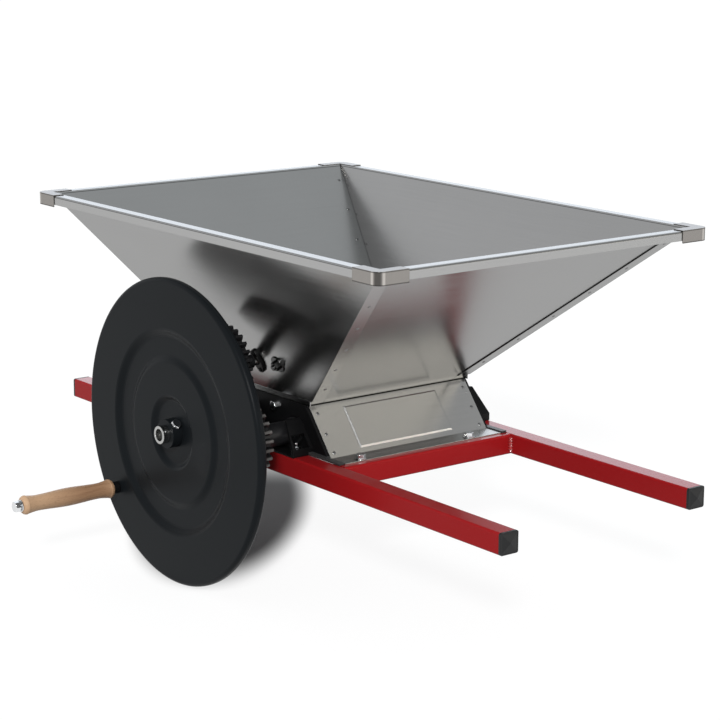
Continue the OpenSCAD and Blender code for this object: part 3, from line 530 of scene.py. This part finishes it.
@dataclass(frozen=True)
class Enamel:
    """Sprayed gloss paint with a slight ripple, dust specks and painted shade in its corners."""

    name: str
    colour: Colour
    roughness: float
    gloss: float
    shine: float = 0.12
    ripple: float = 0.00012
    edge_radius: float = 0.0012
    fleck: float = 0.05
    # Share and tone of the painted shade in corners.
    crease_shade: float = 0.5
    crease_shade_tone: float = 0.25
    crease: float = 0.004
    cloud: Pattern = Pattern(5.0, 3.0, 0.5)
    peel: Pattern = Pattern(420.0, 1.0, 0.4)
    dust: Pattern = Pattern(900.0, 2.0, 0.6)
    dust_level: Span = (0.62, 0.72)
    dust_colour: Colour = (0.5, 0.5, 0.5)
    dust_roughness: float = 0.15
    cloud_share: float = 0.7
    cloud_swing: float = 0.08
    tones: Span = (0.88, 1.1)
    gloss_view: Span = (0.66, 0.76)
    gloss_roughness: float = 0.06
    peel_relief: float = 0.08

    def make(self) -> bpy.types.Material:
        """Build the material.

        Returns:
            The finished material.
        """
        shader = Shader(self.name)
        place = shader.place()
        cloud = shader.noise(place, self.cloud)
        peel = shader.noise(place, self.peel)
        dust = shader.noise(place, self.dust).ramp(*self.dust_level)
        tones = (shade(self.colour, gain) for gain in self.tones)
        body = shader.tint(cloud.mixed(peel, self.cloud_share), *tones)
        dusty = shader.tint(dust * self.fleck, body, self.dust_colour)
        paint = self.worn_paint(shader, place, dusty)
        # Painted shade: the colour darkens in corners that keep light out.
        painted_crease_shade = shader.occlusion_shade(self.crease) * self.crease_shade
        face = shader.rounded(self.edge_radius)
        shader.set(
            Base_Color=shader.tint(painted_crease_shade, paint, shade(self.colour, self.crease_shade_tone)),
            Roughness=self.roughness + cloud.swing(self.cloud_swing) + dust * self.dust_roughness,
            Specular_IOR_Level=self.shine,
            Coat_Weight=shader.grazing(*self.gloss_view) * self.gloss,
            Coat_Roughness=self.gloss_roughness,
            Normal=shader.relief(peel, self.peel_relief, self.ripple, face),
        )
        return shader.material

    def worn_paint(self, shader: Shader, place: Value, paint: Value) -> Value:
        """Colour of the paint, the same all over."""
        return paint


@dataclass(frozen=True)
class PlatePaint(Enamel):
    """Black paint of a side plate, rubbed to grey on the sill that the skirts stand on."""

    sill_top: float = RAIL_HIGH.z + 0.0042
    sill_out: float = RAIL_LOW.y + 0.0026
    sill_soft: float = 0.0004
    rubbed: Colour = (0.055, 0.055, 0.055)

    def worn_paint(self, shader: Shader, place: Value, paint: Value) -> Value:
        """Colour of the paint, grey on top of the sill.

        Args:
            shader: Material of the plate.
            place: Position on the plate.
            paint: Colour of the paint elsewhere.

        Returns:
            The colour.
        """
        across, height = shader.part(place, Axis.Y), shader.part(place, Axis.Z)
        inside = across.size().ramp(self.sill_out + self.sill_soft, self.sill_out)
        sill = inside * height.ramp(self.sill_top + self.sill_soft, self.sill_top)
        return shader.tint(sill, paint, self.rubbed)


@dataclass(frozen=True)
class Casting:
    """Cast metal or moulded plastic with a fine sandy skin and worn edges."""

    name: str
    colour: Colour
    roughness: float
    metallic: float = 0.0
    shine: float = 0.12
    skin: float = 0.0002
    skin_relief: float = 0.12
    edge_radius: float = 0.001
    edge_turn: Span = (0.86, 0.985)
    wear: float = 0.0
    least_wear: float = 0.5
    cloud_wear: float = 0.8
    bare: Colour = (0.3, 0.29, 0.28)
    cloud: Pattern = Pattern(9.0, 3.0, 0.55)
    sand: Pattern = Pattern(900.0, 2.0, 0.6)
    cloud_share: float = 0.6
    cloud_swing: float = 0.12
    sand_swing: float = 0.1
    tones: Span = (0.8, 1.25)

    def make(self) -> bpy.types.Material:
        """Build the material.

        Returns:
            The finished material.
        """
        shader = Shader(self.name)
        place = shader.place()
        cloud = shader.noise(place, self.cloud)
        sand = shader.noise(place, self.sand)
        tones = (shade(self.colour, gain) for gain in self.tones)
        body = shader.tint(cloud.mixed(sand, self.cloud_share), *tones)
        # Worn skin; on the roll gears it also holds the painted highlight of the tooth tips.
        rubbed = self.worn_at(shader, place) * (cloud * self.cloud_wear + self.least_wear)
        face = shader.rounded(self.edge_radius)
        shader.set(
            Base_Color=shader.tint(rubbed, body, self.bare),
            Metallic=self.metallic,
            Roughness=self.roughness + cloud.swing(self.cloud_swing) + sand.swing(self.sand_swing),
            Specular_IOR_Level=self.shine,
            Normal=shader.relief(sand, self.skin_relief, self.skin, face),
        )
        return shader.material

    def worn_at(self, shader: Shader, place: Value) -> Value:
        """How far the skin is worn off, most on sharp edges."""
        return shader.worn_edges(self.edge_radius, *self.edge_turn) * self.wear


@dataclass(frozen=True)
class GearIron(Casting):
    """Dark iron of a gear, worn bare at the tips of its teeth, which also serves as a painted
    highlight there.
    """

    hub: Point = (0.0, 0.0, 0.0)
    tip: float = 0.05
    land: float = 0.0016

    def worn_at(self, shader: Shader, place: Value) -> Value:
        """How bare the iron is, by its distance from the axis and its edges; the bare tips are also
        a painted highlight.

        Args:
            shader: Material of the gear.
            place: Position on the gear.

        Returns:
            One where the iron is bare.
        """
        out = shader.apart(shader.stretched(place, (1.0, 0.0, 1.0)), self.hub)
        # Worn and painted light: the tooth tips turn to a lighter bare iron.
        worn_and_highlit_lands = out.ramp(self.tip - self.land, self.tip - self.land / 2)
        return super().worn_at(shader, place) + worn_and_highlit_lands

    @classmethod
    def of(cls, node: str) -> "GearIron":
        """Finish of one gear, placed by its box.

        Args:
            node: Name of the gear's node.

        Returns:
            The finish.
        """
        low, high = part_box(node)
        hub, tip = (low + high) / 2, (high.z - low.z) / 2
        place = {"hub": (hub.x, 0.0, hub.z), "tip": tip}
        return cls(f"{node}_iron", GEAR_IRON, 0.4, shine=0.3, bare=WORN_AND_HIGHLIT_IRON, **place)


@dataclass(frozen=True)
class TurnedWood:
    """Turned hardwood with fine grain along one axis, short dark flecks and paler worn ends."""

    name: str
    pale: Colour
    dark: Colour
    grain: Axis
    near_end: float
    far_end: float
    near_worn: float = 0.11
    near_share: float = 0.85
    far_worn: float = 0.02
    far_share: float = 0.4
    rubbed: Colour = (0.66, 0.43, 0.26)
    roughness: float = 0.48
    shine: float = 0.3
    edge_radius: float = 0.0006
    fibre: Pattern = Pattern(1.0, 3.0, 0.6)
    fibre_fineness: Span = (8.0, 420.0)
    fibre_share: float = 0.45
    fibre_swing: float = 0.2
    fibre_relief: float = 0.2
    fibre_depth: float = 0.0002
    band: Pattern = Pattern(1.0, 2.0, 0.5)
    band_fineness: Span = (3.0, 70.0)
    contrast: Span = (0.3, 0.72)
    fleck: Pattern = Pattern(1.0, 1.0, 0.4)
    fleck_fineness: Span = (220.0, 1500.0)
    fleck_level: Span = (0.62, 0.7)
    fleck_share: float = 0.35
    fleck_tone: float = 0.6

    def make(self) -> bpy.types.Material:
        """Build the material.

        Returns:
            The finished material.
        """
        shader = Shader(self.name)
        place = shader.place()
        fibre, band, fleck = (
            shader.noise(shader.stretched(place, self.grain.stretch(*fineness)), pattern)
            for pattern, fineness in (
                (self.fibre, self.fibre_fineness),
                (self.band, self.band_fineness),
                (self.fleck, self.fleck_fineness),
            )
        )
        along = shader.part(place, self.grain)
        near = along.ramp(self.near_end + self.near_worn, self.near_end)
        far = along.ramp(self.far_end - self.far_worn, self.far_end)
        growth = fibre.mixed(band, self.fibre_share).ramp(*self.contrast)
        wood = shader.tint(growth, self.dark, self.pale)
        worn = shader.tint(near * self.near_share + far * self.far_share, wood, self.rubbed)
        flecks = fleck.ramp(*self.fleck_level) * self.fleck_share
        face = shader.rounded(self.edge_radius)
        shader.set(
            Base_Color=shader.tint(flecks, worn, shade(self.dark, self.fleck_tone)),
            Roughness=self.roughness + fibre.swing(self.fibre_swing),
            Specular_IOR_Level=self.shine,
            Normal=shader.relief(fibre, self.fibre_relief, self.fibre_depth, face),
        )
        return shader.material


STAINLESS: Colour = (0.36, 0.36, 0.356)
RED: Colour = (0.36, 0.0105, 0.0125)
BLACK: Colour = (0.006, 0.006, 0.0065)
GEAR_IRON: Colour = (0.01, 0.01, 0.011)
# Bare iron of the tooth tips, worn and also a painted highlight.
WORN_AND_HIGHLIT_IRON: Colour = (0.14, 0.135, 0.13)

END_SHEET = TabbedSheet("end_sheet", STAINLESS, 0.22, Axis.X)
SIDE_SHEET = LappedSheet("side_sheet", STAINLESS, 0.22, Axis.Y)
# A lighter copy of the stainless: painted light, for the brighter light the skirts catch.
SKIRT_SHEET = HopperSheet("skirt_sheet", (0.55, 0.545, 0.53), 0.24, Axis.Y)
# A darker copy of the stainless: painted shade, for the darker things the corners reflect.
CAP_STEEL = CapSteel(
    "cap_steel", (0.27, 0.255, 0.24), 0.2, Axis.Z, grain_pitch=0.001, grain_length=0.02
)
BRIGHT_STEEL = BrushedSteel(
    "turned_steel", (0.46, 0.46, 0.45), 0.24, Axis.Z, grain_pitch=0.0008, grain_length=0.02
)
ZINC = BrushedSteel(
    "zinc_plate",
    (0.76, 0.77, 0.78),
    0.15,
    Axis.Z,
    grain_pitch=0.0015,
    grain_length=0.006,
    crease_shade=0.3,
)
DARK_STEEL = BrushedSteel(
    "dark_steel",
    (0.09, 0.09, 0.09),
    0.22,
    Axis.Z,
    grain_pitch=0.0015,
    grain_length=0.006,
    edge_radius=0.0006,
)
RIVET_STEEL = BrushedSteel(
    "rivet_steel",
    (0.24, 0.24, 0.24),
    0.3,
    Axis.Z,
    grain_pitch=0.001,
    grain_length=0.004,
    edge_radius=0.0004,
)
RED_PAINT = Enamel("red_enamel", RED, 0.3, 0.56, shine=0.08)
WELD_PAINT = Enamel("weld_enamel", RED, 0.14, 1.0, shine=1.0, crease_shade=0.0)
BLACK_PAINT = Enamel("black_paint", BLACK, 0.4, 0.2, shine=0.1, fleck=0.01)
PLATE_PAINT = PlatePaint("plate_paint", BLACK, 0.4, 0.2, shine=0.1, fleck=0.01)
BLACK_IRON = Casting("black_casting", (0.0086, 0.0104, 0.012), 0.36, shine=0.06)
GEAR_CASTING = Casting("gear_casting", (0.009, 0.009, 0.01), 0.42, shine=0.2, wear=0.15)
BLACK_PLASTIC = Casting(
    "cap_plastic",
    (0.0135, 0.014, 0.0145),
    0.42,
    shine=0.25,
    skin=0.0001,
    sand=Pattern(1400.0, 2.0, 0.6),
)
ROLL_METAL = Casting("roll_metal", (0.5, 0.5, 0.51), 0.38, metallic=1.0, shine=0.5)
BEECH = TurnedWood(
    "turned_beech", (0.49, 0.29, 0.165), (0.28, 0.15, 0.08), Axis.Y, GRIP_LOW.y, GRIP_HIGH.y
)


@cache
def material_of(finish: Any) -> bpy.types.Material:
    """Material of a finish, made once."""
    return finish.make()


@dataclass
class SubAssembly:
    """A group of frame nodes that are dressed with finishes."""

    name: str = ""
    finishes: dict[str, Any] = field(default_factory=dict)

    def build(self) -> None:
        """Make the pieces that the solids lack."""

    def dress(self) -> None:
        """Give each listed node its material."""
        for node, finish in self.finishes.items():
            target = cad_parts[node]
            target.data.materials.clear()
            target.data.materials.append(material_of(finish))
            LOG.info("%s: %s in %s", self.name, node, finish.name)


@dataclass
class RailFrame(SubAssembly):
    """Red rails and cross members with rippled weld beads and plugged ends."""

    name: str = "rail frame"
    bead_reach: float = 0.0055
    bead_pitch: float = 0.0042
    bead_ripple: float = 0.2
    bead_sides: int = 10
    bead_flat: float = 0.16
    bead_end: float = 0.45
    bead_rise: float = 6.0
    rings_per_ripple: int = 6

    def __post_init__(self) -> None:
        """List the finishes of the frame."""
        for node in ("drive_rail", "far_rail", "front_cross_member", "rear_cross_member"):
            self.finishes[node] = RED_PAINT
        self.finishes["frame_welds"] = RED_PAINT
        self.finishes["rail_end_caps"] = BLACK_PLASTIC

    def build(self) -> None:
        """Lay a rippled bead over each plain weld of the frame."""
        low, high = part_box("frame_welds")
        work = bmesh.new()
        for member in ("front_cross_member", "rear_cross_member"):
            near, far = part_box(member)
            for side in (-1, 1):
                for x, way in ((near.x, -1), (far.x, 1)):
                    rail_face = low.y if side < 0 else high.y
                    self._bead(work, Vector((x, rail_face, low.z)), way, -side, high.z - low.z)
        mesh = bpy.data.meshes.new("weld_beads")
        work.to_mesh(mesh)
        work.free()
        mesh.materials.append(material_of(WELD_PAINT))
        for face in mesh.polygons:
            face.use_smooth = True
        beads = bpy.data.objects.new("weld_beads", mesh)
        bpy.context.scene.collection.objects.link(beads)
        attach(beads, "frame")
        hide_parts("frame_welds")
        LOG.info("%s: weld_beads", self.name)

    def _bead(
        self, work: bmesh.types.BMesh, foot: Vector, way_x: int, way_y: int, length: float
    ) -> None:
        """Sweep one bead up an inside corner.

        Args:
            work: Mesh that takes the bead.
            foot: Lower end of the corner line.
            way_x: Side of the corner towards which the bead swells in x.
            way_y: The same in y.
            length: Length of the bead.
        """
        rings = int(length / self.bead_pitch * self.rings_per_ripple)
        loops = []
        for ring in range(rings + 1):
            share = ring / rings
            climb = share * length
            ripple = math.sin(climb / self.bead_pitch * 2.0 * math.pi)
            swell = self.bead_reach * (1.0 + self.bead_ripple * (ripple - 1.0)) * self._taper(share)
            loop = [work.verts.new(foot + Vector((0.0, 0.0, climb)))]
            for step in range(self.bead_sides + 1):
                turn = math.pi / 2 * step / self.bead_sides
                bulge = swell * (1.0 - self.bead_flat * math.sin(2.0 * turn))
                out_x, out_y = way_x * bulge * math.cos(turn), way_y * bulge * math.sin(turn)
                loop.append(work.verts.new(foot + Vector((out_x, out_y, climb))))
            loops.append(loop)
        for lower, upper in zip(loops, loops[1:]):
            count = len(lower)
            for index in range(count):
                after = (index + 1) % count
                work.faces.new((lower[index], lower[after], upper[after], upper[index]))
        work.faces.new(loops[0])
        work.faces.new(reversed(loops[-1]))
        bmesh.ops.recalc_face_normals(work, faces=work.faces)

    def _taper(self, share: float) -> float:
        """Swell of a bead along its length, thin at both ends."""
        return min(1.0, self.bead_end + self.bead_rise * min(share, 1.0 - share))


@dataclass
class CrushingBox(SubAssembly):
    """Side plates, skirts, roll bushes and their fasteners."""

    name: str = "crushing box"

    def __post_init__(self) -> None:
        """List the finishes of the box."""
        self.finishes = {
            "drive_side_plate": PLATE_PAINT,
            "far_side_plate": PLATE_PAINT,
            "side_plate_bolts": ZINC,
            "plate_screws": ZINC,
            "roll_bushes": BLACK_PLASTIC,
            "front_skirt": SKIRT_SHEET,
            "rear_skirt": SKIRT_SHEET,
            "skirt_rivets": RIVET_STEEL,
            "skirt_bolts": ZINC,
        }


@dataclass
class Hopper(SubAssembly):
    """Four sheet walls with a folded rim, corner caps, bushes and a wall stud."""

    name: str = "hopper"

    def __post_init__(self) -> None:
        """List the finishes of the hopper."""
        self.finishes = {
            "hopper_front_panel": SIDE_SHEET,
            "hopper_rear_panel": SIDE_SHEET,
            "hopper_drive_panel": END_SHEET,
            "hopper_far_panel": END_SHEET,
            "hopper_rivets": RIVET_STEEL,
            "rim_corner_caps": CAP_STEEL,
            "agitator_bushes": BLACK_PAINT,
            "agitator_bush_bolts": BLACK_PAINT,
            "wall_stud": DARK_STEEL,
        }


@dataclass
class Drive(SubAssembly):
    """Drive shaft with its roll, gear, flywheel and handle."""

    name: str = "drive"

    def __post_init__(self) -> None:
        """List the finishes of the drive."""
        self.finishes = {
            "drive_shaft": BRIGHT_STEEL,
            "drive_roll": ROLL_METAL,
            "drive_roll_pin": BRIGHT_STEEL,
            "drive_gear": GearIron.of("drive_gear"),
            "drive_gear_key": BRIGHT_STEEL,
            "drive_shaft_collar": ZINC,
            "flywheel": BLACK_IRON,
            "flywheel_hub": BLACK_IRON,
            "hub_set_bolt": ZINC,
            "handle_spindle": ZINC,
            "handle_collar": BLACK_PAINT,
            "spindle_nut": ZINC,
            "spindle_washer": ZINC,
            "handle_grip": BEECH,
        }


@dataclass
class DrivenRoll(SubAssembly):
    """Second roll with its shaft and gear."""

    name: str = "driven roll"

    def __post_init__(self) -> None:
        """List the finishes of the driven roll."""
        self.finishes = {
            "driven_shaft": BRIGHT_STEEL,
            "driven_roll": ROLL_METAL,
            "driven_roll_pin": BRIGHT_STEEL,
            "driven_gear": GearIron.of("driven_gear"),
            "driven_gear_key": BRIGHT_STEEL,
            "driven_shaft_collar": ZINC,
        }


@dataclass
class Agitator(SubAssembly):
    """Pegged shaft across the throat with its gear."""

    name: str = "agitator"

    def __post_init__(self) -> None:
        """List the finishes of the agitator."""
        self.finishes = {
            "agitator_shaft": BRIGHT_STEEL,
            "agitator_pegs": BRIGHT_STEEL,
            "agitator_gear": GEAR_CASTING,
            "agitator_gear_key": BRIGHT_STEEL,
            "agitator_collar": ZINC,
        }


@dataclass(frozen=True)
class SoftBox:
    """A bright patch of the sky, from its edge to its core as cosines about its direction."""

    direction: Point
    edge: float
    core: float
    colour: Colour


def heading(azimuth: float, height: float) -> Vector:
    """Unit vector towards an azimuth, from -y on to x, and a height over the floor, in degrees."""
    turn, lift, level = math.radians(azimuth), math.radians(height), math.cos(math.radians(height))
    return Vector((math.sin(turn) * level, -math.cos(turn) * level, math.sin(lift)))


@dataclass
class Studio:
    """Pale floor, soft light from all around and the camera."""

    camera_place: Point = (2.52691, -1.92472, 0.85256)
    azimuth: float = 52.059
    pitch: float = 12.769
    roll: float = 0.256
    focal_pixels: float = 2188.81
    sensor: float = 36.0
    centre_pixel: Span = (380.72, 359.2)
    sight: float = 200.0
    floor_side: float = 80.0
    floor_albedo: float = 0.32
    floor_roughness: float = 0.9
    seen_albedo: float = 0.18
    mottle: Pattern = Pattern(3.0)
    mottle_gain: float = 1.02
    floor_glow: float = 0.87
    # Size, place, skew, edge and fade of the painted shadow of the wheel on the floor.
    shadow_share: float = 0.92
    shadow_shift: float = 0.018
    shadow_skew: float = 0.1
    shadow_edge: Span = (1.3, 0.6)
    shadow_fade: Span = (1.05, 0.3)
    key_azimuth: float = 48.8
    key_height: float = 30.0
    key_level: float = 0.6
    key_angle: float = 9.0
    zenith: Colour = (0.4, 0.41, 0.42)
    horizon: Colour = (0.8, 0.81, 0.82)
    overhead: float = 0.75
    soft_boxes: tuple[SoftBox, ...] = (
        SoftBox((-0.769, 0.6, 0.221), 0.86, 0.97, (0.8, 0.88, 1.0)),
        SoftBox((0.79, 0.605, 0.06), 0.955, 0.998, (2.1, 1.98, 1.74)),
        SoftBox((-0.25, 0.45, 0.857), 0.8, 0.97, (0.27, 0.29, 0.3)),
        SoftBox((-0.769, -0.489, 0.414), 0.84, 0.97, (0.3, 0.3, 0.31)),
        SoftBox((0.83, -0.387, 0.352), 0.955, 0.988, (1.0, 1.0, 1.0)),
    )

    def build(self) -> None:
        """Make the camera, the floor, the key light and the sky."""
        self._camera()
        self._floor()
        self._key()
        self._sky()
        bpy.context.scene.view_settings.view_transform = "Standard"

    def _camera(self) -> None:
        """Set up the camera at the photograph's place."""
        data = bpy.data.cameras.new("view")
        data.sensor_width = self.sensor
        data.lens = self.focal_pixels * self.sensor / IMAGE_SIDE
        data.shift_x = (IMAGE_SIDE / 2 - self.centre_pixel[0]) / IMAGE_SIDE
        data.shift_y = (self.centre_pixel[1] - IMAGE_SIDE / 2) / IMAGE_SIDE
        data.clip_end = self.sight
        camera = bpy.data.objects.new("view", data)
        turn, bank = math.radians(self.azimuth), math.radians(self.roll)
        back = heading(self.azimuth, self.pitch)
        right = Vector((math.cos(turn), math.sin(turn), 0.0))
        up = back.cross(right)
        right, up = (
            right * math.cos(bank) + up * math.sin(bank),
            up * math.cos(bank) - right * math.sin(bank),
        )
        rotation = Matrix((right, up, back)).transposed().to_4x4()
        camera.matrix_world = Matrix.Translation(self.camera_place) @ rotation
        bpy.context.scene.collection.objects.link(camera)
        bpy.context.scene.camera = camera

    def _toward_key(self) -> Vector:
        """Direction from the machine to the key light."""
        return heading(self.key_azimuth, self.key_height)

    def _key(self) -> None:
        """Hang a broad key light beside the camera."""
        data = bpy.data.lights.new("key", "SUN")
        data.energy = math.pi * self.key_level
        data.angle = math.radians(self.key_angle)
        lamp = bpy.data.objects.new("key", data)
        lamp.rotation_euler = (-self._toward_key()).to_track_quat("-Z", "Y").to_euler()
        bpy.context.scene.collection.objects.link(lamp)

    def _floor(self) -> None:
        """Lay the floor at the lowest point of the wheel."""
        half = self.floor_side / 2
        mesh = bpy.data.meshes.new("floor")
        low = CAD_BOX[0].z
        corners = [(-half, -half, low), (half, -half, low), (half, half, low), (-half, half, low)]
        mesh.from_pydata(corners, [], [(0, 1, 2, 3)])
        floor = bpy.data.objects.new("floor", mesh)
        bpy.context.scene.collection.objects.link(floor)
        mesh.materials.append(self._floor_paint())

    def _floor_paint(self) -> bpy.types.Material:
        """White sweep, whose glow is taken off in a painted shadow of the wheel.

        Returns:
            The floor's material.
        """
        shader = Shader("floor_white")
        place = shader.place()
        rays = "ShaderNodeLightPath"
        seen = shader.node(rays, output="Is Camera Ray") + shader.node(rays, output="Is Glossy Ray")
        seen = seen + shader.node(rays, output="Is Transmission Ray")
        outside_painted_shadow = self._outside_painted_shadow(shader, place)
        pale = (self.seen_albedo,) * 3
        sweep = shader.tint(shader.noise(place, self.mottle), pale, shade(pale, self.mottle_gain))
        shader.set(
            Base_Color=shader.tint(seen, (self.floor_albedo,) * 3, sweep),
            Roughness=self.floor_roughness,
            Specular_IOR_Level=0.0,
            # Painted shadow: the glow is taken off inside the ellipse behind the wheel.
            Emission_Color=shader.tint(seen * outside_painted_shadow, (0.0, 0.0, 0.0), (1.0, 1.0, 1.0)),
            Emission_Strength=self.floor_glow,
        )
        return shader.material

    def _outside_painted_shadow(self, shader: Shader, place: Value) -> Value:
        """Zero in a painted shadow of the wheel, one on the open floor.

        The painted shadow is an ellipse, worked out from the wheel's box and the direction of the
        key, then shifted, skewed and faded.

        Args:
            shader: Material of the floor.
            place: Position on the floor.

        Returns:
            How far the floor lies outside the painted shadow.
        """
        low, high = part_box("flywheel")
        radius = (high.x - low.x) / 2
        back = -self._toward_key()
        back.z = 0.0
        back.normalize()
        side = Vector((back.y, -back.x, 0.0))
        half_long = radius / math.tan(math.radians(self.key_height))
        half_wide = radius * abs(side.x) * self.shadow_share
        middle = (low + high) / 2 + back * half_long + side * self.shadow_shift
        along = (shader.along(place, back) - back.dot(middle)) * (1.0 / half_long)
        across = (shader.along(place, side) - side.dot(middle)) * (1.0 / half_wide)
        skewed = across + along * self.shadow_skew
        inside = (along * along + skewed * skewed).ramp(*self.shadow_edge)
        return 1.0 - inside * along.ramp(*self.shadow_fade)

    def _sky(self) -> None:
        """Soft sky, white at the horizon, greyer overhead, with a few brighter patches."""
        world = bpy.data.worlds.new("studio")
        bpy.context.scene.world = world
        world.use_nodes = True
        sky = Graph(world.node_tree)
        view = sky.node("ShaderNodeTexCoord", output="Generated")
        climb = sky.part(view, Axis.Z).ramp(0.0, self.overhead)
        level = sky.tint(climb, self.horizon, self.zenith)
        for box in self.soft_boxes:
            near = sky.along(view, box.direction).ramp(box.edge, box.core)
            settings = {"data_type": "RGBA", "blend_type": "ADD"}
            level = sky.node("ShaderNodeMix", settings, {0: near, 6: level, 7: box.colour}, 2)
        sky.feed(world.node_tree.nodes["Background"].inputs["Color"], level)


def assemblies() -> Iterator[SubAssembly]:
    """The sub-assemblies of the machine in building order."""
    yield from (RailFrame(), CrushingBox(), Hopper(), Drive(), DrivenRoll(), Agitator())


def main() -> None:
    """Build the studio, then build and dress every sub-assembly."""
    logging.basicConfig(level=logging.INFO)
    Studio().build()
    for assembly in assemblies():
        assembly.build()
        assembly.dress()


if __name__ == "__main__":
    main()
